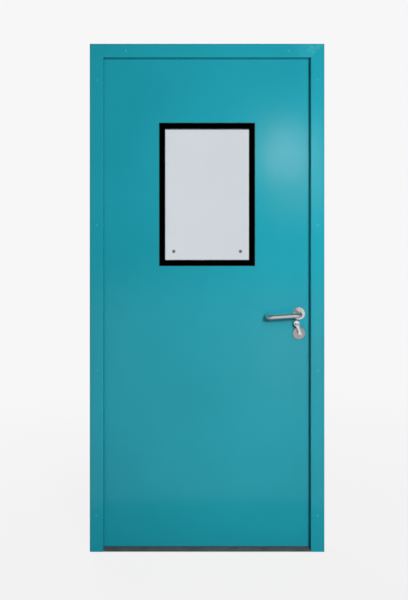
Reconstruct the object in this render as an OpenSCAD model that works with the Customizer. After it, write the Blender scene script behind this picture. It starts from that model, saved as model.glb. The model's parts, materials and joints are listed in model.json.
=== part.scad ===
// Flush steel door leaf with a vision panel, in its folded steel frame.
// Millimetres. X to the right, Y away from the push side, Z up.
// The origin is on the floor, at the middle of the frame's width and depth.

/* [Frame] */
// Overall width of the frame
frame_w = 980; // [800:10:1200]
// Overall height of the frame
frame_h = 2120; // [2000:10:2400]
// Depth of the frame through the wall
frame_d = 90; // [84:1:120]
// Width of the face on the push side
face_w = 57; // [54:1:70]
// Depth of the step that the leaf closes into
rebate_step = 15; // [12:1:16]
// Thickness of the folded sheet
frame_t = 1.5; // [1.2:0.1:2]
// Outside radius of the folds
fold_r = 2.5; // [2:0.1:3.5]
// Width of the lips that grip the wall
lip_w = 7; // [5:0.5:9]
// How far the wall panel reaches into the throat
wall_grip = 22; // [18:1:24]
// Diameter of a rivet head
rivet_d = 11; // [8:0.5:14]
// Distance from a corner or the floor to the first rivet
rivet_end = 150; // [110:5:165]
// Rivets along each jamb
jamb_rivets = 4; // [2:2:6]
// Rivets along the head
head_rivets = 2; // [2:1:4]
// Thickness of the threshold strip
threshold_t = 2; // [1.5:0.1:2.5]

/* [Leaf] */
// Thickness of the leaf
leaf_t = 50; // [46:1:56]
// Clearance between the leaf's edges and the frame
leaf_gap = 4; // [3.5:0.1:5]
// Height of the leaf's bottom edge above the floor
floor_gap = 5; // [4:0.5:9]
// Space between the stop and the leaf for the gasket
gasket_gap = 5; // [4:0.1:7]
// Thickness of the leaf's steel skins
skin_t = 1; // [0.8:0.1:1.2]
// Width of the stiles and rails inside the leaf
stile_w = 45; // [40:1:48]

/* [Window] */
// Width of the glass
glass_w = 400; // [300:10:460]
// Height of the glass
glass_h = 600; // [400:10:700]
// Distance from the leaf's top edge down to the glass
glass_drop = 282; // [180:1:400]
// Thickness of each pane
glass_t = 5; // [4:0.5:6]
// Width of the black border round each pane
band_w = 21; // [14:1:45]
// Width of the sealant joint round each pane
joint_w = 3; // [2:0.5:5]
// Distance of the plugs from the edges of the glass
plug_inset = 59; // [50:1:90]
// Diameter of a plug in the glass
plug_d = 14; // [8:0.5:16]

/* [Lock] */
// Distance from the leaf's edge to the lever's axis
backset = 57; // [52:1:65]
// Height of the lever's axis above the floor
lever_z = 990; // [900:5:1100]
// Distance from the lever's axis down to the turn's axis
lock_centres = 83; // [82:1:95]
// Throw of the latch bolt
latch_throw = 12; // [8:0.5:13]
// Throw of the dead bolt
bolt_throw = 20; // [14:0.5:20]
// Thickness of the lock case
case_t = 18; // [17:0.5:22]

/* [Lever and turn] */
// Diameter of the lever's round bar
bar_d = 20; // [16:0.5:22]
// Distance from the lever's axis to its far end
lever_reach = 144; // [120:1:160]
// Distance from the leaf's face to the middle of the bar
lever_proud = 62; // [48:1:70]
// Radius of the lever's bends, at the middle of the bar
lever_bend = 18; // [15:1:24]
// Gap between the lever's returned end and the leaf's face
lever_end_gap = 12; // [8:1:20]
// Angle that the lever hangs below the horizontal
lever_droop = 3.8; // [0:0.1:6]
// Diameter of the roses
rose_d = 54; // [50:1:60]
// Height of the roses
rose_h = 9; // [8:0.5:12]
// Distance from the turn's axis to the middle of its bow
turn_reach = 46; // [30:1:48]
// Diameter of the turn's bow
bow_d = 23; // [18:0.5:26]
// Width of the turn's stem
stem_w = 9; // [7:0.5:11]
// Lean of the turn, to the left of upright
turn_lean = 20; // [0:1:30]
// Distance from the turn's axis to the middle line of its stem
turn_offset = 3.5; // [0:0.5:5]

/* [Hinges] */
// Height of a hinge
hinge_h = 110; // [90:1:140]
// Width of each hinge plate
plate_w = 32; // [28:1:34]
// Thickness of the hinge plates
plate_t = 3; // [2.5:0.1:4]
// Diameter of the hinge knuckles
knuckle_d = 14; // [13:0.5:16]
// Diameter of the hinge pins
pin_d = 8; // [6:0.5:9]
// Distance from the leaf's ends to the middle of the outer hinges
hinge_end = 230; // [220:5:320]

/* [Hidden] */

$fn = 64;
fold_steps = 4;
half_turn = 180;

// Overrun of every cut
over = 1;
// Overlap of the shapes that make one solid
join = 1;
// Gap between flat pieces of one body that are fitted by hand
fit_gap = 0.3;
// Gap between pieces that slide or turn past each other
slide_gap = 0.3;
// Radial clearance of a turning fit, and of a fixed one
run_fit = 0.05;
fixed_fit = 0.02;

teal = [0.14, 0.58, 0.66];
steel = [0.76, 0.77, 0.79];
zinc = [0.62, 0.64, 0.67];
rubber = [0.12, 0.12, 0.13];
plastic = [0.86, 0.87, 0.86];
black = [0.02, 0.02, 0.03];

// Frame planes
frame_x = frame_w / 2;
front_y = -frame_d / 2;
rear_y = frame_d / 2;
stop_x = frame_x - face_w;
stop_z = frame_h - face_w;
rear_face_w = face_w - rebate_step;
rebate_x = frame_x - rear_face_w;
rebate_z = frame_h - rear_face_w;
mitre_gap = 0.05;

// Leaf planes
leaf_x = rebate_x - leaf_gap;
leaf_y0 = rear_y - leaf_t;
leaf_y1 = rear_y;
leaf_y = (leaf_y0 + leaf_y1) / 2;
leaf_z0 = floor_gap;
leaf_z1 = rebate_z - leaf_gap;
stop_y = leaf_y0 - gasket_gap;
seam_gap = 2;
stile_t = 2;

// Gasket on the stop
gasket_w = 8;
gasket_base_t = 1.5;
gasket_sink = 0.2;
gasket_bulb_d = gasket_gap - gasket_base_t - slide_gap + gasket_sink;

// Rivets
rivet_shank_r = 2.5;
rivet_dome = 1.6;
rivet_tail = 3;

// Inset of the threshold strip from the frame's faces
threshold_inset = 1;

// Corner cleats
cleat_t = 3;
cleat_leg = 70;
cleat_edge = 5;

// Hinges
knuckle_r = knuckle_d / 2;
pin_r = pin_d / 2;
knuckle_lift = 0.5;
hinge_x = -(rebate_x + leaf_x) / 2;
hinge_y = rear_y + knuckle_r + knuckle_lift;
hinge_zs = [leaf_z0 + hinge_end, (leaf_z0 + leaf_z1) / 2, leaf_z1 - hinge_end];
washer_t = 2;
hinge_half = (hinge_h - washer_t) / 2;
hinge_screw_shares = [[0.32, -0.38], [0.68, -0.13], [0.32, 0.13], [0.68, 0.38]];
hinge_screw_r = 2.4;
hinge_head_r = 4.6;
hinge_screw_tip = 1;
backing_t = 3;
knuckle_cap = 4;

// Lock axes
lever_x = leaf_x - backset;
turn_z = lever_z - lock_centres;
latch_rise = 24;
latch_z = lever_z + latch_rise;
latch_h = 18;
latch_w = 12;
latch_guide = 15;
latch_len = latch_throw + skin_t + stile_t + latch_guide;
latch_bevel = 9;
latch_flat = 4;
latch_tail_r = 3;
latch_tail_len = 26;
tip_set = 0.3;

// Lock case
faceplate_t = skin_t + stile_t;
faceplate_w = 24;
faceplate_end = 28;
case_wall = 1.5;
case_back = 36;
case_over = 44;
case_under = 40;
case_x1 = leaf_x - faceplate_t;
case_x0 = lever_x - case_back;
case_y0 = leaf_y - case_t / 2;
case_y1 = leaf_y + case_t / 2;
case_z0 = turn_z - case_under;
case_z1 = lever_z + case_over;
faceplate_z0 = case_z0 - faceplate_end;
faceplate_z1 = case_z1 + faceplate_end;
lug_t = 6;
lug_reach = 24;
lug_hold = 8;
faceplate_screw_in = 10;
faceplate_screw_r = 2;
faceplate_head_r = 3.8;
faceplate_screw_len = 9;

// Dead bolt, driven by a crank pin
bolt_h = 24;
bolt_w = 10;
bolt_drop = 8;
bolt_z1 = turn_z - bolt_drop;
bolt_z0 = bolt_z1 - bolt_h;
bolt_guide = 17;
bolt_len = bolt_throw + faceplate_t + bolt_guide;
crank_swing = 45;
crank_r = bolt_throw / 2 / sin(crank_swing);
crank_pin_r = 3;
crank_arm_w = 8;
crank_arm_t = 3;
crank_eye_r = 5;
crank_core_r = 6;
crank_hub_r = 8;
crank_hub_step = 0.5;
slot_gap = 0.75;
tail_t = 4;
tail_end = 6;
tail_drop = crank_r + crank_pin_r + slot_gap + tail_end;

// Strike
strike_end = 34;
strike_z0 = bolt_z0 - strike_end;
strike_z1 = latch_z + latch_h / 2 + strike_end;
strike_w = faceplate_w;
strike_t = frame_t;
strike_flange = 6;
strike_wall = 1;
strike_play = 1.5;
strike_screw_in = 12;
strike_screw_r = 2;
strike_head_r = 3.4;
strike_screw_tip = 1;
strike_floor_x = frame_x - wall_grip - fit_gap;

// Lever, spindles and roses
bar_r = bar_d / 2;
neck_r = 9;
turn_neck_r = 5.5;
spindle_w = 8;
spindle_fit = 0.1;
spindle_in = 22;
turn_spindle_w = 5;
turn_spindle_in = 8;
hub_r = 11;
hub_neck_r = 8;
hub_lug_w = 6;
hub_lug_len = 15;
base_h = 4;
rose_wall = 1.2;
rose_edge_r = 2.5;
rose_r = rose_d / 2;
rose_bolt_in = 19;
rose_bolt_r = 2;
rose_bolt_head_r = 3.6;
rose_bolt_head_h = 2;
neck_hole_gap = 2.5;
neck_hole_r = neck_r + neck_hole_gap;
grub_r = 2.5;
grub_out = 5;
turn_gap = 10;
turn_t = 12;
turn_tail = 2;
dish_rim = 2.5;
dish_depth = 2.5;
release_d = 22;
release_t = 3;
release_slot_w = 2.4;
release_slot_t = 1.6;

// Leaf structure
inner_x = leaf_x - skin_t;
inner_y0 = leaf_y0 + skin_t;
inner_y1 = leaf_y1 - skin_t;
inner_z0 = leaf_z0 + skin_t;
inner_z1 = leaf_z1 - skin_t;
core_x = inner_x - stile_w;
core_z0 = inner_z0 + stile_w;
core_z1 = inner_z1 - stile_w;
pocket_gap = 1;

// Bottom sweep
sweep_w = 14;
sweep_t = 2;
blade_w = 5;
sweep_inset = 6;

// Window build-up
glass_z = leaf_z1 - glass_drop - glass_h / 2;
hole_w = glass_w + 2 * joint_w;
hole_h = glass_h + 2 * joint_w;
sub_w = 20;
sub_lip = 5;
spacer_w = 7;
band_t = 0.5;
pane_back_y = leaf_y0 + glass_t;
lip_y0 = pane_back_y + band_t;
lip_y1 = 2 * leaf_y - lip_y0;
plug_dome = 1.2;
plug_bore_share = 0.7;

// Solid box between two corners
module box(low, high) {
    translate(low)
        cube(high - low);
}

// Round bar along Y
module bar_y(x, z, r, y0, y1) {
    translate([x, y0, z])
        rotate([-90, 0, 0])
            cylinder(h = y1 - y0, r = r);
}

// Round bar along X
module bar_x(y, z, r, x0, x1) {
    translate([x0, y, z])
        rotate([0, 90, 0])
            cylinder(h = x1 - x0, r = r);
}

// Outline in X and Z, given depth in Y
module plate_xz(points, y0, y1) {
    translate([0, y1, 0])
        rotate([90, 0, 0])
            linear_extrude(height = y1 - y0)
                polygon(points);
}

// Outline in Y and Z, given length in X
module plate_yz(points, x0, x1) {
    translate([x0, 0, 0])
        rotate([90, 0, 90])
            linear_extrude(height = x1 - x0)
                polygon(points);
}

// What stands on the push face, repeated on the pull face
module on_pull_face() {
    translate([0, 2 * leaf_y, 0])
        mirror([0, 1, 0])
            children();
}

// Local frame on the push face: Z outwards from the leaf
module on_push_face(x, z) {
    translate([x, leaf_y0, z])
        rotate([90, 0, 0])
            children();
}

// Rectangular ring about the middle of the window
module window_ring(outer_w, outer_h, inner_w, inner_h, y0, y1) {
    difference() {
        box([-outer_w / 2, y0, glass_z - outer_h / 2], [outer_w / 2, y1, glass_z + outer_h / 2]);
        box([-inner_w / 2, y0 - over, glass_z - inner_h / 2],
            [inner_w / 2, y1 + over, glass_z + inner_h / 2]);
    }
}

// Arc that rounds the corner p between its neighbours a and b
function toward(p, q) = (q - p) / norm(q - p);
function corner_arc(a, p, b, r) =
    let (
        ua = toward(p, a),
        ub = toward(p, b),
        half = acos(ua * ub) / 2,
        middle = p + (ua + ub) / norm(ua + ub) * r / sin(half),
        from = p + ua * r / tan(half) - middle,
        to = p + ub * r / tan(half) - middle,
        start = atan2(from.y, from.x),
        sweep = (atan2(to.y, to.x) - start + 3 * half_turn) % (2 * half_turn) - half_turn
    )
    [for (i = [0 : fold_steps])
        middle + r * [cos(start + sweep * i / fold_steps), sin(start + sweep * i / fold_steps)]];
function rounded(points, radii) =
    let (n = len(points))
    [for (i = [0 : n - 1])
        each radii[i] == 0
            ? [points[i]]
            : corner_arc(points[(i + n - 1) % n], points[i], points[(i + 1) % n], radii[i])];

// Countersunk screw, and the hole it sits in: Z outwards, head flush at zero
module csk_screw(shank_r, head_r, length) {
    difference() {
        union() {
            translate([0, 0, -length])
                cylinder(h = length, r = shank_r);
            translate([0, 0, shank_r - head_r])
                cylinder(h = head_r - shank_r, r1 = shank_r, r2 = head_r);
        }
        translate([0, 0, -shank_r / 2])
            cylinder(h = shank_r / 2 + over, r = shank_r / 2, $fn = 6);
    }
}

module csk_hole(shank_r, head_r, length) {
    translate([0, 0, -length])
        cylinder(h = length + over, r = shank_r + fixed_fit);
    translate([0, 0, shank_r - head_r])
        cylinder(h = head_r - shank_r, r1 = shank_r + fixed_fit, r2 = head_r + fixed_fit);
}

// Section of the folded sheet: distance from the frame's outer edge, and depth
fold_in_r = fold_r - frame_t;
edge_r = lip_w - frame_t;
edge_in_r = edge_r - frame_t;
frame_profile = rounded(
    [
        [0, front_y + lip_w], [0, front_y], [face_w, front_y], [face_w, stop_y],
        [rear_face_w, stop_y], [rear_face_w, rear_y], [0, rear_y], [0, rear_y - lip_w],
        [frame_t, rear_y - lip_w], [frame_t, rear_y - frame_t],
        [rear_face_w - frame_t, rear_y - frame_t], [rear_face_w - frame_t, stop_y - frame_t],
        [face_w - frame_t, stop_y - frame_t], [face_w - frame_t, front_y + frame_t],
        [frame_t, front_y + frame_t], [frame_t, front_y + lip_w]
    ],
    [
        0, edge_r, fold_r, fold_r, fold_in_r, fold_r, edge_r, 0,
        0, edge_in_r, fold_in_r, fold_r, fold_in_r, fold_in_r, edge_in_r, 0
    ]
);

// Rivet places along a jamb and along the head
jamb_rivet_zs = [for (i = [0 : jamb_rivets - 1])
    rivet_end + i * (frame_h - 2 * rivet_end) / (jamb_rivets - 1)];
head_rivet_xs = [for (i = [0 : head_rivets - 1])
    -frame_x + rivet_end + i * (frame_w - 2 * rivet_end) / (head_rivets - 1)];

// Children at each rivet, Z outwards from the frame's face
module at_jamb_rivets() {
    for (z = jamb_rivet_zs) {
        translate([-frame_x + face_w / 2, front_y, z])
            rotate([90, 0, 0])
                children();
        translate([-frame_x + rear_face_w / 2, rear_y, z])
            rotate([-90, 0, 0])
                children();
    }
}

module at_head_rivets() {
    for (x = head_rivet_xs) {
        translate([x, front_y, frame_h - face_w / 2])
            rotate([90, 0, 0])
                children();
        translate([x, rear_y, frame_h - rear_face_w / 2])
            rotate([-90, 0, 0])
                children();
    }
}

module rivet_hole() {
    translate([0, 0, -frame_t - over])
        cylinder(h = frame_t + 2 * over, r = rivet_shank_r + fixed_fit);
}

module rivet() {
    head_r = rivet_d / 2;
    dome_r = (head_r * head_r + rivet_dome * rivet_dome) / (2 * rivet_dome);
    translate([0, 0, -frame_t - rivet_tail])
        cylinder(h = frame_t + rivet_tail, r = rivet_shank_r);
    intersection() {
        cylinder(h = rivet_dome, r = head_r);
        translate([0, 0, rivet_dome - dome_r])
            sphere(r = dome_r);
    }
}

// Jamb on the hinge side, mitred at the top
module jamb_blank() {
    difference() {
        translate([-frame_x, 0, 0])
            linear_extrude(height = frame_h)
                polygon(frame_profile);
        plate_xz(
            [
                [-frame_x - over, frame_h + over - mitre_gap],
                [-stop_x + over, stop_z - over - mitre_gap],
                [-stop_x + over, frame_h + over - mitre_gap]
            ],
            front_y - over, rear_y + over);
        at_jamb_rivets()
            rivet_hole();
    }
}

module hinge_jamb() {
    color(teal)
        difference() {
            jamb_blank();
            at_hinge_screws(-1)
                csk_hole(hinge_screw_r, hinge_head_r, hinge_frame_screw_len);
        }
}

module strike_jamb() {
    color(teal)
        difference() {
            mirror([1, 0, 0])
                jamb_blank();
            box([rebate_x - over, leaf_y - strike_w / 2 - fit_gap, strike_z0 - fit_gap],
                [rebate_x + frame_t + over, leaf_y + strike_w / 2 + fit_gap, strike_z1 + fit_gap]);
        }
}

// Head with a mitre at each end
module head_mitre() {
    plate_xz(
        [
            [-frame_x - over, frame_h + over + mitre_gap],
            [-stop_x + over, stop_z - over + mitre_gap],
            [-frame_x - over, stop_z - over + mitre_gap]
        ],
        front_y - over, rear_y + over);
}

module frame_head() {
    color(teal)
        difference() {
            translate([-frame_x, 0, frame_h])
                rotate([0, 90, 0])
                    linear_extrude(height = frame_w)
                        polygon(frame_profile);
            head_mitre();
            mirror([1, 0, 0])
                head_mitre();
            at_head_rivets()
                rivet_hole();
        }
}

// Angle that ties a jamb to the head inside the stop
module corner_cleat() {
    outer = face_w - frame_t;
    inner = outer - cleat_t;
    plate_xz(
        [
            [-frame_x + inner, frame_h - outer - cleat_leg],
            [-frame_x + outer, frame_h - outer - cleat_leg],
            [-frame_x + outer, frame_h - outer], [-frame_x + outer + cleat_leg, frame_h - outer],
            [-frame_x + outer + cleat_leg, frame_h - inner], [-frame_x + inner, frame_h - inner]
        ],
        front_y + frame_t + cleat_edge, stop_y - frame_t - cleat_edge);
}

module corner_cleats() {
    color(zinc) {
        corner_cleat();
        mirror([1, 0, 0])
            corner_cleat();
    }
}

// Bulb gasket on the back of the stop
gasket_x = (stop_x + leaf_x) / 2;
gasket_z = (stop_z + leaf_z1) / 2;
gasket_bulb_y = stop_y + gasket_base_t - gasket_sink + gasket_bulb_d / 2;

module side_gasket() {
    gasket_top = gasket_z - gasket_w / 2;
    box([-gasket_x - gasket_w / 2, stop_y, threshold_t],
        [-gasket_x + gasket_w / 2, stop_y + gasket_base_t, gasket_top]);
    translate([-gasket_x, gasket_bulb_y, threshold_t])
        cylinder(h = gasket_top - threshold_t, r = gasket_bulb_d / 2);
}

module frame_gasket() {
    color(rubber) {
        side_gasket();
        mirror([1, 0, 0])
            side_gasket();
        half_w = gasket_x + gasket_w / 2;
        box([-half_w, stop_y, gasket_z - gasket_w / 2],
            [half_w, stop_y + gasket_base_t, gasket_z + gasket_w / 2]);
        bar_x(gasket_bulb_y, gasket_z, gasket_bulb_d / 2, -half_w, half_w);
    }
}

module frame_rivets() {
    color(teal) {
        at_jamb_rivets()
            rivet();
        mirror([1, 0, 0])
            at_jamb_rivets()
                rivet();
        at_head_rivets()
            rivet();
    }
}

// Flat strip on the floor between the jambs
module threshold_strip() {
    front_x = stop_x - fit_gap;
    rear_x = rebate_x - fit_gap;
    step_y = stop_y + fit_gap;
    color(rubber)
        linear_extrude(height = threshold_t)
            polygon([
                [-front_x, front_y + threshold_inset], [front_x, front_y + threshold_inset],
                [front_x, step_y],
                [rear_x, step_y], [rear_x, rear_y - threshold_inset], [-rear_x, rear_y - threshold_inset],
                [-rear_x, step_y], [-front_x, step_y]
            ]);
}

// Strike in the jamb for the latch and the dead bolt
module at_strike_screws() {
    for (z = [strike_z0 + strike_screw_in, strike_z1 - strike_screw_in])
        translate([rebate_x, leaf_y, z])
            rotate([0, -90, 0])
                children();
}

module strike_windows(x0, x1) {
    box([x0, leaf_y - latch_w / 2 - strike_play, latch_z - latch_h / 2 - strike_play],
        [x1, leaf_y + latch_w / 2 + strike_play, latch_z + latch_h / 2 + strike_play]);
    box([x0, leaf_y - bolt_w / 2 - strike_play, bolt_z0 - strike_play],
        [x1, leaf_y + bolt_w / 2 + strike_play, bolt_z1 + strike_play]);
}

strike_screw_len = strike_t + strike_wall + strike_screw_tip;

module strike_plate() {
    color(steel)
        difference() {
            plate_yz(
                rounded(
                    [
                        [leaf_y - strike_w / 2, strike_z0], [leaf_y + strike_w / 2, strike_z0],
                        [leaf_y + strike_w / 2, strike_z1], [leaf_y - strike_w / 2, strike_z1]
                    ],
                    [strike_t, strike_t, strike_t, strike_t]),
                rebate_x, rebate_x + strike_t);
            strike_windows(rebate_x - over, rebate_x + strike_t + over);
            at_strike_screws()
                csk_hole(strike_screw_r, strike_head_r, strike_screw_len);
        }
}

module strike_box() {
    mouth_x = rebate_x + frame_t;
    half_w = latch_w / 2 + strike_play;
    low_z = bolt_z0 - strike_play;
    high_z = latch_z + latch_h / 2 + strike_play;
    color(zinc)
        difference() {
            union() {
                box([mouth_x, leaf_y - strike_w / 2 - strike_flange, strike_z0 - strike_flange],
                    [mouth_x + strike_wall, leaf_y + strike_w / 2 + strike_flange,
                        strike_z1 + strike_flange]);
                box([mouth_x, leaf_y - half_w - strike_wall, low_z - strike_wall],
                    [strike_floor_x, leaf_y + half_w + strike_wall, high_z + strike_wall]);
            }
            box([mouth_x - over, leaf_y - half_w, low_z],
                [strike_floor_x - strike_wall, leaf_y + half_w, high_z]);
            at_strike_screws()
                csk_hole(strike_screw_r, strike_head_r, strike_screw_len);
        }
}

module strike_screws() {
    color(steel)
        at_strike_screws()
            csk_screw(strike_screw_r, strike_head_r, strike_screw_len);
}

// Lift-off hinges on the pull side: side is -1 on the frame and 1 on the leaf
hinge_frame_screw_len = plate_t + frame_t + backing_t + hinge_screw_tip;
hinge_leaf_screw_len = plate_t + skin_t + stile_t + hinge_screw_tip;
plate_in = knuckle_r + knuckle_lift;
plate_corner_r = 5;

module at_hinge_screws(side) {
    for (z = hinge_zs)
        for (share = hinge_screw_shares)
            translate([hinge_x + side * (plate_in + share.x * plate_w), rear_y + plate_t,
                    z + share.y * hinge_h])
                rotate([-90, 0, 0])
                    children();
}

// Plate with a knuckle over one half of its height
module hinge_plate(side, z, bore_r, bore_low, bore_high) {
    knuckle_low = side < 0 ? z - hinge_h / 2 : z + washer_t / 2;
    difference() {
        union() {
            plate_xz(
                rounded(
                    [
                        [hinge_x + side * plate_in, z - hinge_h / 2],
                        [hinge_x + side * plate_in, z + hinge_h / 2],
                        [hinge_x + side * (plate_in + plate_w), z + hinge_h / 2],
                        [hinge_x + side * (plate_in + plate_w), z - hinge_h / 2]
                    ],
                    [0, 0, plate_corner_r, plate_corner_r]),
                rear_y, rear_y + plate_t);
            plate_xz(
                [
                    [hinge_x, knuckle_low], [hinge_x + side * plate_in, knuckle_low],
                    [hinge_x + side * plate_in, knuckle_low + hinge_half],
                    [hinge_x, knuckle_low + hinge_half]
                ],
                rear_y, rear_y + plate_t);
            translate([hinge_x, hinge_y, knuckle_low])
                cylinder(h = hinge_half, r = knuckle_r);
        }
        translate([hinge_x, hinge_y, bore_low])
            cylinder(h = bore_high - bore_low, r = bore_r);
        at_hinge_screws(side)
            csk_hole(hinge_screw_r, hinge_head_r, hinge_frame_screw_len);
    }
}

module hinge_frame_plate(z) {
    color(steel)
        hinge_plate(-1, z, pin_r + fixed_fit, z - hinge_h / 2 - over, z);
}

module hinge_leaf_plate(z) {
    color(steel)
        hinge_plate(1, z, pin_r + run_fit, z, z + hinge_h / 2 - knuckle_cap);
}

module hinge_pins() {
    color(zinc)
        for (z = hinge_zs)
            translate([hinge_x, hinge_y, z - hinge_h / 2])
                cylinder(h = hinge_h - knuckle_cap - slide_gap, r = pin_r);
}

module hinge_washers() {
    color("goldenrod")
        for (z = hinge_zs)
            translate([hinge_x, hinge_y, z - washer_t / 2])
                difference() {
                    cylinder(h = washer_t - 2 * run_fit, r = knuckle_r);
                    translate([0, 0, -over])
                        cylinder(h = washer_t + 2 * over, r = pin_r + fixed_fit);
                }
}

module hinge_frame_screws() {
    color(zinc)
        at_hinge_screws(-1)
            csk_screw(hinge_screw_r, hinge_head_r, hinge_frame_screw_len);
}

module hinge_leaf_screws() {
    color(zinc)
        at_hinge_screws(1)
            csk_screw(hinge_screw_r, hinge_head_r, hinge_leaf_screw_len);
}

// Tapped plates inside the hinge jamb
module hinge_backing_plates() {
    back_y = rear_y - frame_t;
    color(zinc)
        difference() {
            for (z = hinge_zs)
                box([lip_w - frame_x, back_y - backing_t, z - hinge_h / 2],
                    [hinge_x - plate_in, back_y, z + hinge_h / 2]);
            at_hinge_screws(-1)
                csk_hole(hinge_screw_r, hinge_head_r, hinge_frame_screw_len + over);
        }
}

// Round holes through the whole leaf for the spindles and the rose bolts
rose_zs = [lever_z, turn_z];
rose_bolt_xs = [lever_x - rose_bolt_in, lever_x + rose_bolt_in];

module through_holes() {
    for (z = rose_zs) {
        bar_y(lever_x, z, neck_hole_r, leaf_y0 - over, leaf_y1 + over);
        for (x = rose_bolt_xs)
            bar_y(x, z, rose_bolt_r + fit_gap, leaf_y0 - over, leaf_y1 + over);
    }
}

// Space that the faceplate takes in the leaf's edge
module faceplate_cut() {
    box([case_x1, leaf_y - faceplate_w / 2 - fit_gap, faceplate_z0 - fit_gap],
        [leaf_x + over, leaf_y + faceplate_w / 2 + fit_gap, faceplate_z1 + fit_gap]);
}

// Space that the lock case takes inside the leaf
module case_pocket() {
    box([case_x0 - pocket_gap, case_y0 - pocket_gap, case_z0 - pocket_gap],
        [case_x1 + pocket_gap, case_y1 + pocket_gap, case_z1 + pocket_gap]);
}

// Slot for the sweep carrier along the bottom edge
sweep_x = inner_x - sweep_inset;

module sweep_slot(half_w, z0, z1) {
    box([-sweep_x - fit_gap, leaf_y - half_w - fit_gap, z0],
        [sweep_x + fit_gap, leaf_y + half_w + fit_gap, z1]);
}

// Steel pan that makes one face of the leaf and half of its edges
module skin_pan() {
    difference() {
        box([-leaf_x, leaf_y0, leaf_z0], [leaf_x, leaf_y - seam_gap / 2, leaf_z1]);
        box([-inner_x, inner_y0, inner_z0], [inner_x, leaf_y + over, inner_z1]);
        box([-hole_w / 2, leaf_y0 - over, glass_z - hole_h / 2],
            [hole_w / 2, inner_y0 + over, glass_z + hole_h / 2]);
        through_holes();
        faceplate_cut();
        sweep_slot(sweep_w / 2, leaf_z0 - over, inner_z0 + over);
    }
}

module front_skin() {
    color(teal)
        skin_pan();
}

module rear_skin() {
    color(teal)
        difference() {
            on_pull_face()
                skin_pan();
            at_hinge_screws(1)
                csk_hole(hinge_screw_r, hinge_head_r, hinge_leaf_screw_len);
        }
}

module leaf_core() {
    color("burlywood")
        difference() {
            box([-core_x, inner_y0, core_z0], [core_x, inner_y1, core_z1]);
            box([-hole_w / 2 - sub_w, inner_y0 - over, glass_z - hole_h / 2 - sub_w],
                [hole_w / 2 + sub_w, inner_y1 + over, glass_z + hole_h / 2 + sub_w]);
            case_pocket();
            through_holes();
        }
}

// Upright tube inside an edge of the leaf
module stile() {
    difference() {
        box([core_x, inner_y0, inner_z0], [inner_x, inner_y1, inner_z1]);
        box([core_x + stile_t, inner_y0 + stile_t, inner_z0 - over],
            [inner_x - stile_t, inner_y1 - stile_t, inner_z1 + over]);
        sweep_slot(flange_w / 2, inner_z0 - over, flange_z1 + fit_gap);
    }
}

module hinge_stile() {
    color(zinc)
        difference() {
            mirror([1, 0, 0])
                stile();
            at_hinge_screws(1)
                csk_hole(hinge_screw_r, hinge_head_r, hinge_leaf_screw_len);
        }
}

// Tapped lug behind an end of the faceplate
module faceplate_lug(z0, z1) {
    box([case_x1 - lug_t, leaf_y - faceplate_w / 2, z0], [case_x1, leaf_y + faceplate_w / 2, z1]);
}

module lock_stile() {
    color(zinc)
        difference() {
            union() {
                difference() {
                    stile();
                    faceplate_cut();
                    case_pocket();
                }
                faceplate_lug(faceplate_z0 - lug_hold, faceplate_z0 + lug_reach);
                faceplate_lug(faceplate_z1 - lug_reach, faceplate_z1 + lug_hold);
            }
            through_holes();
            at_faceplate_screws()
                csk_hole(faceplate_screw_r, faceplate_head_r, faceplate_screw_len);
        }
}

// Tube across the leaf between the stiles
module rail(z0) {
    difference() {
        box([-core_x, inner_y0, z0], [core_x, inner_y1, z0 + stile_w]);
        box([-core_x - over, inner_y0 + stile_t, z0 + stile_t],
            [core_x + over, inner_y1 - stile_t, z0 + stile_w - stile_t]);
    }
}

module top_rail() {
    color(zinc)
        rail(inner_z1 - stile_w);
}

module bottom_rail() {
    color(zinc)
        difference() {
            rail(inner_z0);
            sweep_slot(sweep_w / 2, inner_z0 - over, inner_z0 + stile_t + over);
        }
}

// Aluminium carrier in the bottom rail, and the rubber blade it holds
flange_z0 = inner_z0 + stile_t;
flange_z1 = flange_z0 + sweep_t;
flange_w = sweep_w + 4 * sweep_t;
blade_top = flange_z0;

module sweep_carrier() {
    stem = sweep_w / 2;
    flange = flange_w / 2;
    groove = blade_w / 2;
    color("lightgray")
        plate_yz(
            [
                [leaf_y - stem, leaf_z0], [leaf_y - groove, leaf_z0], [leaf_y - groove, blade_top],
                [leaf_y + groove, blade_top], [leaf_y + groove, leaf_z0], [leaf_y + stem, leaf_z0],
                [leaf_y + stem, flange_z0], [leaf_y + flange, flange_z0], [leaf_y + flange, flange_z1],
                [leaf_y - flange, flange_z1], [leaf_y - flange, flange_z0], [leaf_y - stem, flange_z0]
            ],
            -sweep_x, sweep_x);
}

module sweep_blade() {
    color(rubber)
        box([-sweep_x, leaf_y - blade_w / 2 + fixed_fit, threshold_t + slide_gap],
            [sweep_x, leaf_y + blade_w / 2 - fixed_fit, blade_top]);
}

// Ring that frames the window opening and carries both panes
module window_subframe() {
    color(plastic) {
        window_ring(hole_w + 2 * sub_w, hole_h + 2 * sub_w, hole_w, hole_h, inner_y0, inner_y1);
        window_ring(hole_w + sub_w, hole_h + sub_w, glass_w - 2 * sub_lip, glass_h - 2 * sub_lip,
            lip_y0, lip_y1);
    }
}

module pane() {
    box([-glass_w / 2, leaf_y0, glass_z - glass_h / 2], [glass_w / 2, pane_back_y, glass_z + glass_h / 2]);
}

module band() {
    window_ring(glass_w, glass_h, glass_w - 2 * band_w, glass_h - 2 * band_w, pane_back_y, lip_y0);
}

// Places of the two plugs in the lower corners of the front pane
plug_xs = [-glass_w / 2 + plug_inset, glass_w / 2 - plug_inset];
plug_z = glass_z - glass_h / 2 + plug_inset;
plug_bore_r = plug_d / 2 * plug_bore_share;

module front_glass() {
    color([0.8, 0.86, 0.88, 0.4])
        difference() {
            pane();
            for (x = plug_xs)
                bar_y(x, plug_z, plug_bore_r + fixed_fit, leaf_y0 - over, pane_back_y + over);
        }
}

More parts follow.
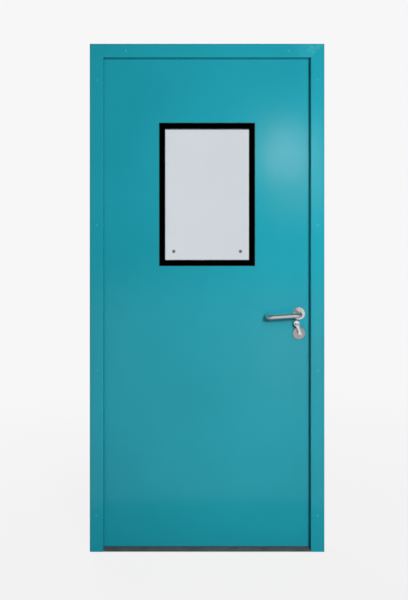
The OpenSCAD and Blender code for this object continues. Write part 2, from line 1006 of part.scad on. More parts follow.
module rear_glass() {
    color([0.8, 0.86, 0.88, 0.4])
        on_pull_face()
            pane();
}

module front_glass_band() {
    color(black)
        band();
}

module rear_glass_band() {
    color(black)
        on_pull_face()
            band();
}

module glass_spacer() {
    outer_w = glass_w - 2 * sub_lip;
    outer_h = glass_h - 2 * sub_lip;
    color("lightgray")
        window_ring(outer_w, outer_h, outer_w - 2 * spacer_w, outer_h - 2 * spacer_w, lip_y0, lip_y1);
}

module sealant_ring() {
    window_ring(hole_w, hole_h, glass_w, glass_h, leaf_y0, lip_y0);
}

module glass_sealant() {
    color(black) {
        sealant_ring();
        on_pull_face()
            sealant_ring();
    }
}

module glass_plugs() {
    color(rubber)
        for (x = plug_xs) {
            bar_y(x, plug_z, plug_bore_r, leaf_y0, pane_back_y);
            bar_y(x, plug_z, plug_d / 2, leaf_y0 - plug_dome, leaf_y0);
        }
}

// Bores that the lock's hub, crank and rose bolts need in the case
module case_bores() {
    y0 = case_y0 - over;
    y1 = case_y1 + over;
    bar_y(lever_x, lever_z, hub_neck_r + run_fit, y0, y1);
    bar_y(lever_x, turn_z, crank_core_r + run_fit, y0, y1);
    for (z = rose_zs)
        for (x = rose_bolt_xs)
            bar_y(x, z, rose_bolt_r + fit_gap, y0, y1);
}

// Windows that the latch and the dead bolt slide through
module bolt_windows(x0, x1) {
    box([x0, leaf_y - latch_w / 2 - slide_gap, latch_z - latch_h / 2 - slide_gap],
        [x1, leaf_y + latch_w / 2 + slide_gap, latch_z + latch_h / 2 + slide_gap]);
    box([x0, leaf_y - bolt_w / 2 - slide_gap, bolt_z0 - slide_gap],
        [x1, leaf_y + bolt_w / 2 + slide_gap, bolt_z1 + slide_gap]);
}

module lock_case() {
    color(zinc)
        difference() {
            box([case_x0, case_y0 + case_wall, case_z0], [case_x1, case_y1, case_z1]);
            box([case_x0 + case_wall, case_y0, case_z0 + case_wall],
                [case_x1 - case_wall, case_y1 - case_wall, case_z1 - case_wall]);
            bolt_windows(case_x1 - case_wall - over, case_x1 + over);
            case_bores();
        }
}

module lock_cover() {
    color(zinc)
        difference() {
            box([case_x0, case_y0, case_z0], [case_x1, case_y0 + case_wall, case_z1]);
            case_bores();
        }
}

// Children at the faceplate's two screws, Z outwards from the leaf's edge
module at_faceplate_screws() {
    for (z = [faceplate_z0 + faceplate_screw_in, faceplate_z1 - faceplate_screw_in])
        translate([leaf_x, leaf_y, z])
            rotate([0, 90, 0])
                children();
}

module lock_faceplate() {
    half_w = faceplate_w / 2;
    color(steel)
        difference() {
            plate_yz(
                rounded(
                    [
                        [leaf_y - half_w, faceplate_z0], [leaf_y + half_w, faceplate_z0],
                        [leaf_y + half_w, faceplate_z1], [leaf_y - half_w, faceplate_z1]
                    ],
                    [faceplate_t, faceplate_t, faceplate_t, faceplate_t]),
                case_x1, leaf_x);
            bolt_windows(case_x1 - over, leaf_x + over);
            at_faceplate_screws()
                csk_hole(faceplate_screw_r, faceplate_head_r, faceplate_screw_len);
        }
}

module faceplate_screws() {
    color(steel)
        at_faceplate_screws()
            csk_screw(faceplate_screw_r, faceplate_head_r, faceplate_screw_len);
}

// Cover of a rose: a thin turned cap with a rounded edge
module rose(bore_r) {
    rotate_extrude()
        polygon(rounded(
            [
                [bore_r, rose_h], [rose_r, rose_h], [rose_r, 0], [rose_r - rose_wall, 0],
                [rose_r - rose_wall, rose_h - rose_wall], [bore_r, rose_h - rose_wall]
            ],
            [0, rose_edge_r, 0, 0, rose_edge_r - rose_wall, 0]));
}

module lever_rose() {
    color(steel)
        on_push_face(lever_x, lever_z)
            rose(neck_r + slide_gap);
}

module turn_rose() {
    color(steel)
        on_push_face(lever_x, turn_z)
            rose(turn_neck_r + slide_gap);
}

// Base that a cover snaps on to, with a bearing for the neck
module rose_base(bore_r) {
    difference() {
        cylinder(h = base_h, r = rose_r - rose_wall - fit_gap);
        translate([0, 0, -over])
            cylinder(h = base_h + 2 * over, r = bore_r);
        for (x = [-rose_bolt_in, rose_bolt_in])
            translate([x, 0, -over]) {
                cylinder(h = base_h + 2 * over, r = rose_bolt_r + fixed_fit);
                translate([0, 0, base_h - rose_bolt_head_h + over])
                    cylinder(h = rose_bolt_head_h + over, r = rose_bolt_head_r + fixed_fit);
            }
    }
}

module face_bases() {
    on_push_face(lever_x, lever_z)
        rose_base(neck_r + run_fit);
    on_push_face(lever_x, turn_z)
        rose_base(turn_neck_r + run_fit);
}

module rose_bases() {
    color(zinc) {
        face_bases();
        on_pull_face()
            face_bases();
    }
}

// Through bolts with a round head at each end
module rose_bolts() {
    front = leaf_y0 - base_h;
    rear = leaf_y1 + base_h;
    color(zinc)
        for (z = rose_zs)
            for (x = rose_bolt_xs) {
                bar_y(x, z, rose_bolt_r, front, rear);
                bar_y(x, z, rose_bolt_head_r, front, front + rose_bolt_head_h);
                bar_y(x, z, rose_bolt_head_r, rear - rose_bolt_head_h, rear);
            }
}

// Quarter bend of the lever's bar, in the plane through its neck
module lever_elbow(x, start) {
    translate([x, 0, lever_proud - lever_bend])
        rotate([90, 0, 0])
            rotate([0, 0, start])
                rotate_extrude(angle = 90)
                    translate([lever_bend, 0])
                        circle(r = bar_r);
}

// Square hole or bar along the local Z
module square_bar(width, z0, z1) {
    box([-width / 2, -width / 2, z0], [width / 2, width / 2, z1]);
}

// Round bar lever, bent out of its rose and returned towards the leaf
grub_z = rose_h + grub_out;
lever_end_x = -(lever_reach - bar_r - lever_bend);
lever_chamfer = 2;

module lever_grub(r) {
    translate([0, 0, grub_z])
        rotate([90, 0, 0])
            translate([0, 0, spindle_w / 2 + spindle_fit])
                cylinder(h = bar_r - spindle_w / 2 - spindle_fit, r = r);
}

module lever() {
    on_push_face(lever_x, lever_z)
        rotate([0, 0, lever_droop])
            difference() {
                union() {
                    cylinder(h = rose_h + slide_gap, r = neck_r);
                    translate([0, 0, rose_h + slide_gap])
                        cylinder(h = lever_proud - lever_bend - rose_h - slide_gap, r = bar_r);
                    lever_elbow(-lever_bend, 0);
                    translate([lever_end_x, 0, lever_proud])
                        rotate([0, 90, 0])
                            cylinder(h = -lever_bend - lever_end_x, r = bar_r);
                    lever_elbow(lever_end_x, 90);
                    translate([lever_end_x - lever_bend, 0, lever_end_gap + lever_chamfer])
                        cylinder(h = lever_proud - lever_bend - lever_end_gap - lever_chamfer, r = bar_r);
                    translate([lever_end_x - lever_bend, 0, lever_end_gap])
                        cylinder(h = lever_chamfer, r1 = bar_r - lever_chamfer, r2 = bar_r);
                }
                square_bar(spindle_w + spindle_fit, -over, spindle_in + spindle_fit);
                lever_grub(grub_r + fixed_fit);
            }
}

module front_lever() {
    color(steel)
        lever();
}

module rear_lever() {
    color(steel)
        on_pull_face()
            lever();
}

module lever_spindle() {
    color(zinc)
        on_push_face(lever_x, lever_z)
            rotate([0, 0, lever_droop])
                square_bar(spindle_w, -leaf_t - spindle_in, spindle_in);
}

module face_grub() {
    on_push_face(lever_x, lever_z)
        rotate([0, 0, lever_droop])
            lever_grub(grub_r);
}

module lever_grub_screws() {
    color(zinc) {
        face_grub();
        on_pull_face()
            face_grub();
    }
}

// Hub that the spindle turns inside the lock
module lever_hub() {
    color("goldenrod")
        difference() {
            union() {
                bar_y(lever_x, lever_z, hub_neck_r, case_y0, case_y1);
                bar_y(lever_x, lever_z, hub_r, hub_y0, hub_y1);
                box([lever_x - hub_lug_w / 2, hub_y0, lever_z],
                    [lever_x + hub_lug_w / 2, hub_y1, lever_z + hub_lug_len]);
            }
            on_push_face(lever_x, lever_z)
                rotate([0, 0, lever_droop])
                    square_bar(spindle_w + spindle_fit, -leaf_t, 0);
        }
}

// Spring latch with a bevelled nose, drawn back flush
hub_y0 = case_y0 + 2 * case_wall;
hub_y1 = case_y1 - 2 * case_wall;
latch_tip = leaf_x - tip_set;
latch_back = latch_tip - latch_len;

module latch_bolt() {
    low_y = leaf_y - latch_w / 2;
    high_y = leaf_y + latch_w / 2;
    color(steel) {
        translate([0, 0, latch_z - latch_h / 2])
            linear_extrude(height = latch_h)
                polygon([
                    [latch_back, low_y], [latch_tip - latch_bevel, low_y], [latch_tip, high_y - latch_flat],
                    [latch_tip, high_y], [latch_back, high_y]
                ]);
        bar_x(leaf_y, latch_z, latch_tail_r, latch_back - latch_tail_len, latch_back + join);
    }
}

// Dead bolt with a slotted tail for the crank pin, drawn back flush
bolt_back = leaf_x - tip_set - bolt_len;
tail_y0 = leaf_y - bolt_w / 2;
tail_y1 = tail_y0 + tail_t;
slot_x = lever_x - crank_r * sin(crank_swing);
slot_half = crank_pin_r + slot_gap;

module dead_bolt() {
    color(steel)
        difference() {
            union() {
                box([bolt_back, leaf_y - bolt_w / 2, bolt_z0],
                    [leaf_x - tip_set, leaf_y + bolt_w / 2, bolt_z1]);
                box([slot_x - slot_half - tail_end, tail_y0, turn_z - tail_drop],
                    [bolt_back + join, tail_y1, bolt_z1]);
            }
            box([slot_x - slot_half, tail_y0 - over, turn_z - crank_r - slot_half],
                [slot_x + slot_half, tail_y1 + over, bolt_z1 + over]);
        }
}

// Crank whose pin drives the dead bolt
module bolt_crank() {
    arm_y0 = tail_y1 + slide_gap + crank_hub_step;
    arm_y1 = arm_y0 + crank_arm_t;
    color("goldenrod")
        difference() {
            union() {
                bar_y(lever_x, turn_z, crank_core_r, case_y0, case_y1);
                bar_y(lever_x, turn_z, crank_hub_r, arm_y0 - crank_hub_step, arm_y1 + crank_hub_step);
                translate([lever_x, 0, turn_z])
                    rotate([0, half_turn + crank_swing, 0]) {
                        box([-crank_arm_w / 2, arm_y0, crank_core_r + crank_hub_step],
                            [crank_arm_w / 2, arm_y1, crank_r]);
                        bar_y(0, crank_r, crank_eye_r, arm_y0, arm_y1);
                        bar_y(0, crank_r, crank_pin_r, tail_y0, arm_y0 + join);
                    }
            }
            on_push_face(lever_x, turn_z)
                square_bar(turn_spindle_w + spindle_fit, -leaf_t, 0);
        }
}

// Thumb turn: a stem with a dished bow, leaning over its rose
turn_z0 = rose_h + turn_gap;
bow_r = bow_d / 2;
dish_w = bow_r - dish_rim;
dish_r = (dish_w * dish_w + dish_depth * dish_depth) / (2 * dish_depth);
flare_shares = [0.5, 0.85, 1.7];

// Stem and dished bow of the turn, upright
module turn_blade() {
    difference() {
        union() {
            linear_extrude(height = turn_t)
                polygon([
                    [-stem_w / 2, -turn_tail], [stem_w / 2, -turn_tail],
                    [stem_w / 2, turn_reach - bow_r * flare_shares[2]],
                    [bow_r * flare_shares[1], turn_reach - bow_r * flare_shares[0]],
                    [-bow_r * flare_shares[1], turn_reach - bow_r * flare_shares[0]],
                    [-stem_w / 2, turn_reach - bow_r * flare_shares[2]]
                ]);
            translate([0, -turn_tail, 0])
                cylinder(h = turn_t, r = stem_w / 2);
            translate([0, turn_reach, 0])
                cylinder(h = turn_t, r = bow_r);
        }
        translate([0, turn_reach, turn_t - dish_depth + dish_r])
            sphere(r = dish_r);
    }
}

module thumb_turn() {
    color(steel)
        on_push_face(lever_x, turn_z)
            difference() {
                union() {
                    cylinder(h = turn_z0 + turn_t / 2, r = turn_neck_r);
                    translate([0, 0, turn_z0])
                        rotate([0, 0, turn_lean])
                            translate([turn_offset, 0, 0])
                                turn_blade();
                }
                square_bar(turn_spindle_w + spindle_fit, -over, turn_spindle_in + spindle_fit);
            }
}

// Coin release on the pull side
module release_disc() {
    color(steel)
        on_pull_face()
            on_push_face(lever_x, turn_z)
                difference() {
                    union() {
                        cylinder(h = rose_h + slide_gap, r = turn_neck_r);
                        translate([0, 0, rose_h + slide_gap])
                            cylinder(h = release_t, r = release_d / 2);
                    }
                    square_bar(turn_spindle_w + spindle_fit, -over, turn_spindle_in + spindle_fit);
                    box([-release_d / 2 - over, -release_slot_w / 2,
                            rose_h + slide_gap + release_t - release_slot_t],
                        [release_d / 2 + over, release_slot_w / 2, rose_h + slide_gap + release_t + over]);
                }
}

module turn_spindle() {
    color(zinc)
        on_push_face(lever_x, turn_z)
            square_bar(turn_spindle_w, -leaf_t - turn_spindle_in, turn_spindle_in);
}

hinge_jamb();
strike_jamb();
frame_head();
corner_cleats();
frame_gasket();
frame_rivets();
threshold_strip();
strike_plate();
strike_box();
strike_screws();
hinge_backing_plates();
hinge_frame_plate(hinge_zs[0]);  // hinge_frame_plate_1
hinge_frame_plate(hinge_zs[1]);  // hinge_frame_plate_2
hinge_frame_plate(hinge_zs[2]);  // hinge_frame_plate_3
hinge_leaf_plate(hinge_zs[0]);  // hinge_leaf_plate_1
hinge_leaf_plate(hinge_zs[1]);  // hinge_leaf_plate_2
hinge_leaf_plate(hinge_zs[2]);  // hinge_leaf_plate_3
hinge_pins();
hinge_washers();
hinge_frame_screws();
hinge_leaf_screws();
front_skin();
rear_skin();
leaf_core();
hinge_stile();
lock_stile();
top_rail();
bottom_rail();
sweep_carrier();
sweep_blade();
window_subframe();
front_glass();
rear_glass();
front_glass_band();
rear_glass_band();
glass_spacer();
glass_sealant();
glass_plugs();
lock_case();
lock_cover();
lock_faceplate();
faceplate_screws();
lever_rose();  // front_lever_rose
on_pull_face() lever_rose();  // rear_lever_rose
turn_rose();  // front_turn_rose
on_pull_face() turn_rose();  // rear_turn_rose
rose_bases();
rose_bolts();
front_lever();
rear_lever();
lever_spindle();
lever_hub();
lever_grub_screws();
latch_bolt();
dead_bolt();
thumb_turn();
release_disc();
turn_spindle();
bolt_crank();
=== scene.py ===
"""Looks of a teal steel door with a vision panel: finishes, softened edges, light and camera."""
import json
import math

import bpy
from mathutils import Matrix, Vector


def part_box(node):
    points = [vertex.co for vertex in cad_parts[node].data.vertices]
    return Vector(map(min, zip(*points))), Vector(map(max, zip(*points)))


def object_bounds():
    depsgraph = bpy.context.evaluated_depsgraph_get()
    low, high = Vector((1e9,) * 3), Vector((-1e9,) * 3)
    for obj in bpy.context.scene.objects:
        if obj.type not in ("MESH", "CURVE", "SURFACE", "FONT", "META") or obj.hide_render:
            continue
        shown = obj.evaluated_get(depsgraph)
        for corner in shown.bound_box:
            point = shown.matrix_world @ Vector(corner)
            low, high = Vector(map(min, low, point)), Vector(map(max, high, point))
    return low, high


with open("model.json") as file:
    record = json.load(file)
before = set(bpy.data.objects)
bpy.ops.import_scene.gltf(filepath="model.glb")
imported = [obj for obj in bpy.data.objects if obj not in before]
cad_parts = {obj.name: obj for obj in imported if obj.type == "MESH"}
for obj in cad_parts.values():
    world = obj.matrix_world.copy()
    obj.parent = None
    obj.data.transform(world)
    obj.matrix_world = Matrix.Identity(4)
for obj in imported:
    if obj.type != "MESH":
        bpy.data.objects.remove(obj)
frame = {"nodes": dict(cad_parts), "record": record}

CAD_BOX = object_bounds()
NODES = frame["nodes"]
QUARTER = math.radians(90)

# Photograph's size, and where the door frame's sides and foot are seen in it, in pixels
PHOTO_W, PHOTO_H = 408, 600
DOOR_LEFT_PX, DOOR_RIGHT_PX = 89.6, 324.6
DOOR_BOTTOM_PX = 551.9

# Camera: distance from the door frame's push face, and height above the floor, in metres
CAMERA_DISTANCE = 3.0
CAMERA_HEIGHT = 1.40
SENSOR_MM = 36.0

# Linear colours of the part
TEAL = (0.014, 0.302, 0.376)
TEAL_DEEP = (0.012, 0.278, 0.349)
# Paler teal of the rivet heads, a painted highlight on their domes
TEAL_SHEEN = (0.028, 0.338, 0.415)
TEAL_SCUFFED = (0.038, 0.354, 0.426)
STAINLESS = (0.70, 0.69, 0.70)
# Darker copy of the stainless for the turn roses, painted shade
SATIN_SHADED = (0.54, 0.53, 0.55)
# Lighter copy of the stainless for the lever roses and thumb turn, painted reflection
POLISHED_SHEEN = (0.86, 0.85, 0.85)
ZINC = (0.42, 0.44, 0.46)
BRASS = (0.52, 0.36, 0.13)
ALUMINIUM = (0.56, 0.57, 0.58)
# Dark rubber of the seals; on the threshold strip its dark colour stands in for painted shade on the
# floor under the door
RUBBER = (0.110, 0.102, 0.106)
SILICONE = (0.006, 0.006, 0.007)
ENAMEL = (0.010, 0.009, 0.022)
# Tint of the panes, dark enough to dim the pale background seen through them to grey, as painted
# shade
GLASS_TINT_AND_SHADE = (0.842, 0.872, 0.894)
BOARD = (0.42, 0.28, 0.13)
PLASTIC = (0.70, 0.71, 0.70)

# Linear colours of the studio
PALE = (0.931, 0.931, 0.931)
SKY = (0.95, 0.97, 1.0)
FLOOR_GREY = (0.45, 0.45, 0.45)
CARD_DARK = (0.010, 0.010, 0.011)
CARD_LIGHT = (0.016, 0.016, 0.017)

# Part of a noise's range that colours and roughness are spread over
NOISE_RANGE = (0.3, 0.7)

# Paint: widths of its variation and depths of its relief in metres, and its gloss
DRIFT_SIZE = 0.45
GLOSS_SIZE = 0.06
WAVE_SIZE, WAVE_DEPTH, WAVE_STRENGTH = 0.12, 0.0006, 0.35
PEEL_SIZE, PEEL_DEPTH, PEEL_STRENGTH = 0.0035, 0.00005, 0.5
PAINT_ROUGHNESS = (0.15, 0.19)
PAINT_SPECULAR = 0.2

# Rubbed paint: where it starts to fade and ends, from the mitre, and its specks' width, in metres
SCUFF_REACH = (0.02, 0.10)
SPECK_SIZE = 0.014
# Strength of the specks, and the part of their noise that it is spread over
SPECK_SHARE = (0.35, 1.0)
SPECK_RANGE = (0.45, 0.65)

# Relief of the other finishes, in metres
BRUSH_DEPTH = 0.00002
RUBBER_DEPTH = 0.0001
FIBRE_DEPTH = 0.0002

# Rounds along the edges of the solids that show, in metres
EDGES = {
    "glass_sealant": 0.0006, "threshold_strip": 0.0005, "thumb_turn": 0.0020,
    "release_disc": 0.0005, "strike_plate": 0.0003, "lock_faceplate": 0.0003,
    "latch_bolt": 0.0006, "dead_bolt": 0.0006,
}
EDGE_ANGLE = math.radians(40)
EDGE_SEGMENTS = 3
WELD_DISTANCE = 1e-6

# Studio: strength of the fill, the floor's half width and drop below the door, and how its pale
# share grows with the distance from the door, in metres
WORLD_FILL = 0.08
FLOOR_HALF = 12.0
FLOOR_DROP = 0.0005
FLOOR_FADE = (0.8, 3.0)
FLOOR_SHARE = (0.92, 1.0)
DOOR_FOOT = (0.0, 0.0, 0.0)
DOOR_MIDDLE = (0.0, 0.0, 1.1)


# Node helpers

def new_material(name):
    """A new material, its tree and its principled shader."""
    material = bpy.data.materials.new(name)
    material.use_nodes = True
    return material, material.node_tree, material.node_tree.nodes["Principled BSDF"]


def add(tree, kind, **values):
    """A node with its sockets set by name."""
    node = tree.nodes.new(kind)
    for name, value in values.items():
        node.inputs[name.replace("_", " ")].default_value = value
    return node


def feed(tree, node, **outputs):
    """Outputs linked to a node's sockets by name."""
    for name, output in outputs.items():
        tree.links.new(output, node.inputs[name.replace("_", " ")])


def maths(tree, operation, first, second):
    """Two outputs joined by an operation."""
    node = tree.nodes.new("ShaderNodeMath")
    node.operation = operation
    tree.links.new(first, node.inputs[0])
    tree.links.new(second, node.inputs[1])
    return node.outputs[0]


def noise(tree, size, detail=2.0, stretch=(1.0, 1.0, 1.0)):
    """Noise whose features are about size metres across, stretched by a factor per axis."""
    source = tree.nodes.new("ShaderNodeTexCoord")
    mapping = add(tree, "ShaderNodeMapping", Scale=stretch)
    node = add(tree, "ShaderNodeTexNoise", Scale=1.0 / size, Detail=detail)
    feed(tree, mapping, Vector=source.outputs["Object"])
    feed(tree, node, Vector=mapping.outputs["Vector"])
    return node.outputs["Fac"]


def spread(tree, factor, result, source=NOISE_RANGE):
    """A factor's range mapped to another."""
    names = ("From_Min", "From_Max", "To_Min", "To_Max")
    node = add(tree, "ShaderNodeMapRange", **dict(zip(names, (*source, *result))))
    feed(tree, node, Value=factor)
    return node.outputs["Result"]


def fade_from(tree, place, reach, shares):
    """A share that changes with the distance from a place, in metres."""
    source = tree.nodes.new("ShaderNodeTexCoord")
    distance = tree.nodes.new("ShaderNodeVectorMath")
    distance.operation = "DISTANCE"
    distance.inputs[1].default_value = place
    tree.links.new(source.outputs["Object"], distance.inputs[0])
    return spread(tree, distance.outputs["Value"], shares, reach)


def blend_colours(tree, factor, first, second, source=NOISE_RANGE):
    """Two colours mixed over a factor's range."""
    ramp = tree.nodes.new("ShaderNodeValToRGB")
    for stop, position, colour in zip(ramp.color_ramp.elements, source, (first, second)):
        stop.position = position
        stop.color = (*colour, 1.0)
    feed(tree, ramp, Fac=factor)
    return ramp.outputs["Color"]


def bump(tree, height, depth, strength=1.0, under=None):
    """A bump of that depth in metres, on top of another where given."""
    node = add(tree, "ShaderNodeBump", Strength=strength, Distance=depth)
    feed(tree, node, Height=height)
    if under is not None:
        feed(tree, node, Normal=under)
    return node.outputs["Normal"]


def shade(colour, factor):
    """A colour made lighter or darker."""
    return tuple(min(1.0, channel * factor) for channel in colour)


# Kinds of finish

def powder_coat(name):
    """Teal paint with a slow drift of colour, faint waves and orange peel."""
    material, tree, shader = new_material(name)
    colour = blend_colours(tree, noise(tree, DRIFT_SIZE, detail=3.0), TEAL_DEEP, TEAL)
    waves = bump(tree, noise(tree, WAVE_SIZE, detail=1.0), WAVE_DEPTH, WAVE_STRENGTH)
    peel = bump(tree, noise(tree, PEEL_SIZE), PEEL_DEPTH, PEEL_STRENGTH, under=waves)
    gloss = spread(tree, noise(tree, GLOSS_SIZE), PAINT_ROUGHNESS)
    feed(tree, shader, Base_Color=colour, Normal=peel, Roughness=gloss)
    shader.inputs["Specular IOR Level"].default_value = PAINT_SPECULAR
    return material, tree, shader, colour


def clouded(name, first, second, size, roughness, source=NOISE_RANGE):
    """A smooth finish whose colour and roughness drift between two values."""
    material, tree, shader = new_material(name)
    cloud = noise(tree, size)
    colour = blend_colours(tree, cloud, first, second, source)
    feed(tree, shader, Base_Color=colour, Roughness=spread(tree, cloud, roughness))
    return material


def brushed(name, colour, roughness, grain, stretch, contrast=0.10, relief=0.4, metallic=1.0):
    """Metal with a brushed grain along one direction."""
    material, tree, shader = new_material(name)
    lines = noise(tree, grain, detail=4.0, stretch=stretch)
    dark, light = shade(colour, 1.0 - contrast), shade(colour, 1.0 + contrast)
    feed(tree, shader, Base_Color=blend_colours(tree, lines, dark, light),
         Roughness=spread(tree, lines, roughness),
         Normal=bump(tree, lines, BRUSH_DEPTH, relief))
    shader.inputs["Metallic"].default_value = metallic
    return material


def soft_black(name, colour, roughness, grain, dust_size=0.05, dust=1.5, relief=0.5):
    """Rubber or silicone with a fine grain and a little dust."""
    material, tree, shader = new_material(name)
    grains = noise(tree, grain, detail=3.0)
    dusty = noise(tree, dust_size, detail=4.0)
    feed(tree, shader, Base_Color=blend_colours(tree, dusty, colour, shade(colour, dust)),
         Roughness=spread(tree, grains, roughness),
         Normal=bump(tree, grains, RUBBER_DEPTH, relief))
    return material


# Finishes, one per material slot of the record

def teal_paint():
    return powder_coat("teal_powder_coat")[0]


def stainless():
    return brushed("brushed_stainless", STAINLESS, roughness=(0.28, 0.36), grain=0.0006,
                   stretch=(0.06, 1.0, 1.0), contrast=0.04, relief=0.15, metallic=0.85)


def zinc_steel():
    return brushed("zinc_plated_steel", ZINC, roughness=(0.34, 0.52), grain=0.004,
                   stretch=(1.0, 1.0, 0.4))


def brass():
    return brushed("turned_brass", BRASS, roughness=(0.24, 0.36), grain=0.0010,
                   stretch=(1.0, 0.1, 1.0))


def aluminium():
    return brushed("mill_aluminium", ALUMINIUM, roughness=(0.30, 0.42), grain=0.0015,
                   stretch=(0.05, 1.0, 1.0))


def rubber():
    return soft_black("dark_rubber", RUBBER, roughness=(0.55, 0.75), grain=0.0012)


def sealant():
    return soft_black("black_silicone", SILICONE, roughness=(0.25, 0.40), grain=0.004)


def black_enamel():
    return clouded("black_enamel", ENAMEL, shade(ENAMEL, 2.0), size=0.03, roughness=(0.08, 0.16))


def glass(wave_size=0.25, faint=0.985, ior=1.5):
    """Clear glass with a faint drift of its tint; the tint also dims the pale background seen through
    it, as painted shade.
    """
    material, tree, shader = new_material("clear_glass")
    waviness = noise(tree, wave_size, detail=1.0)
    tint = blend_colours(tree, waviness, shade(GLASS_TINT_AND_SHADE, faint), GLASS_TINT_AND_SHADE)
    feed(tree, shader, Base_Color=tint)
    shader.inputs["Transmission Weight"].default_value = 1.0
    shader.inputs["Roughness"].default_value = 0.0
    shader.inputs["IOR"].default_value = ior
    return material


def core_board(fibre_size=0.006, dark=0.8, roughness=0.9):
    """Paper with fibres along its height."""
    material, tree, shader = new_material("paper_honeycomb")
    fibres = noise(tree, fibre_size, detail=4.0, stretch=(1.0, 1.0, 0.2))
    feed(tree, shader, Base_Color=blend_colours(tree, fibres, shade(BOARD, dark), BOARD),
         Normal=bump(tree, fibres, FIBRE_DEPTH))
    shader.inputs["Roughness"].default_value = roughness
    return material


def subframe_plastic():
    return clouded("extruded_plastic", shade(PLASTIC, 0.94), PLASTIC, size=0.02,
                   roughness=(0.42, 0.55))


FINISHES = {
    "teal_paint": teal_paint, "stainless": stainless, "zinc_steel": zinc_steel, "brass": brass,
    "aluminium": aluminium, "rubber": rubber, "sealant": sealant, "black_enamel": black_enamel,
    "glass": glass, "core_board": core_board, "subframe_plastic": subframe_plastic,
}


# Variants of a finish, for the nodes seen lighter, darker or rubbed: the lighter and darker stainless
# are copies of the steel with painted reflection and painted shade, the paler rivet paint is a
# painted highlight, and the head's specks are paint rubbed by the mitre

# Darker copy of the stainless, painted shade on the turn roses
def satin_shaded_stainless():
    return brushed("satin_shaded_stainless", SATIN_SHADED, roughness=(0.40, 0.48), grain=0.0008,
                   stretch=(1.0, 1.0, 0.08), contrast=0.05, relief=0.15, metallic=0.85)


# Lighter copy of the stainless, a painted reflection on the lever roses and thumb turn
def polished_sheen_stainless():
    return brushed("polished_sheen_stainless", POLISHED_SHEEN, roughness=(0.22, 0.30), grain=0.0006,
                   stretch=(1.0, 1.0, 0.08), contrast=0.03, relief=0.10, metallic=0.85)


# Rivet paint clouded paler, a painted highlight rather than real wear
def rivet_sheen_paint():
    """Paint on the rivet heads, clouded paler as a painted highlight on their domes."""
    return clouded("rivet_sheen_coat", TEAL, TEAL_SHEEN, size=0.004, roughness=(0.22, 0.34),
                   source=(0.2, 0.5))


def mitre_middle():
    """Middle of the frame's top right mitre, on the push face."""
    low, high = (Vector(corner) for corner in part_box("frame_head"))
    half_face = (high.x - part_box("strike_jamb")[0][0]) / 2
    return Vector((high.x - half_face, low.y, high.z - half_face))


def scuffed_paint():
    """Paint on the head, rubbed paler in specks beside the right mitre."""
    material, tree, shader, colour = powder_coat("scuffed_powder_coat")
    near = fade_from(tree, mitre_middle(), SCUFF_REACH, (1.0, 0.0))
    specks = spread(tree, noise(tree, SPECK_SIZE, detail=3.0), SPECK_SHARE, SPECK_RANGE)
    mix = add(tree, "ShaderNodeMixRGB", Color2=(*TEAL_SCUFFED, 1.0))
    feed(tree, mix, Fac=maths(tree, "MULTIPLY", near, specks), Color1=colour)
    feed(tree, shader, Base_Color=mix.outputs["Color"])
    return material


VARIANTS = {
    satin_shaded_stainless: ("front_turn_rose", "rear_turn_rose"),
    polished_sheen_stainless: ("front_lever_rose", "rear_lever_rose", "thumb_turn"),
    rivet_sheen_paint: ("frame_rivets",),
    scuffed_paint: ("frame_head",),
}


def dress_nodes():
    """Each CAD node gets the finish of its slot, or a variant of it."""
    made = {slot: finish() for slot, finish in FINISHES.items()}
    for part in frame["record"]["subparts"]:
        mesh = NODES[part["node"]].data
        mesh.materials.clear()
        mesh.materials.append(made[part["material_slot"]])
    for variant, nodes in VARIANTS.items():
        material = variant()
        for node in nodes:
            NODES[node].data.materials[0] = material


def soften(node, width):
    """A small round along a node's sharp edges."""
    obj = NODES[node]
    weld = obj.modifiers.new("weld", "WELD")
    weld.merge_threshold = WELD_DISTANCE
    bevel = obj.modifiers.new("edge", "BEVEL")
    bevel.width = width
    bevel.segments = EDGE_SEGMENTS
    bevel.limit_method = "ANGLE"
    bevel.angle_limit = EDGE_ANGLE
    bevel.use_clamp_overlap = True
    bevel.harden_normals = True


# Studio

def pale_when_seen(tree):
    """One for camera, glossy and transmission rays, and zero elsewhere."""
    rays = tree.nodes.new("ShaderNodeLightPath").outputs
    seen = maths(tree, "MAXIMUM", rays["Is Camera Ray"], rays["Is Glossy Ray"])
    return maths(tree, "MAXIMUM", seen, rays["Is Transmission Ray"])


def mix_surface(tree, share, lit, shown, output_kind):
    """A lit shader, with the shown one in its place by a share."""
    mix = add(tree, "ShaderNodeMixShader")
    feed(tree, mix, Fac=share)
    tree.links.new(lit.outputs[0], mix.inputs[1])
    tree.links.new(shown.outputs[0], mix.inputs[2])
    feed(tree, tree.nodes.new(output_kind), Surface=mix.outputs[0])


def build_world():
    """A soft grey fill that looks pale where it is seen."""
    world = bpy.data.worlds.new("studio")
    bpy.context.scene.world = world
    world.use_nodes = True
    tree = world.node_tree
    tree.nodes.clear()
    light = add(tree, "ShaderNodeBackground", Color=(*SKY, 1.0), Strength=WORLD_FILL)
    shown = add(tree, "ShaderNodeBackground", Color=(*PALE, 1.0), Strength=1.0)
    mix_surface(tree, pale_when_seen(tree), light, shown, "ShaderNodeOutputWorld")


def floor_material():
    """Pale floor that keeps the shadow near the door and fades into the background."""
    material = bpy.data.materials.new("pale_floor")
    material.use_nodes = True
    tree = material.node_tree
    tree.nodes.clear()
    lit = add(tree, "ShaderNodeBsdfDiffuse", Color=(*FLOOR_GREY, 1.0))
    shown = add(tree, "ShaderNodeEmission", Color=(*PALE, 1.0), Strength=1.0)
    fade = fade_from(tree, DOOR_FOOT, FLOOR_FADE, FLOOR_SHARE)
    share = maths(tree, "MULTIPLY", pale_when_seen(tree), fade)
    mix_surface(tree, share, lit, shown, "ShaderNodeOutputMaterial")
    return material


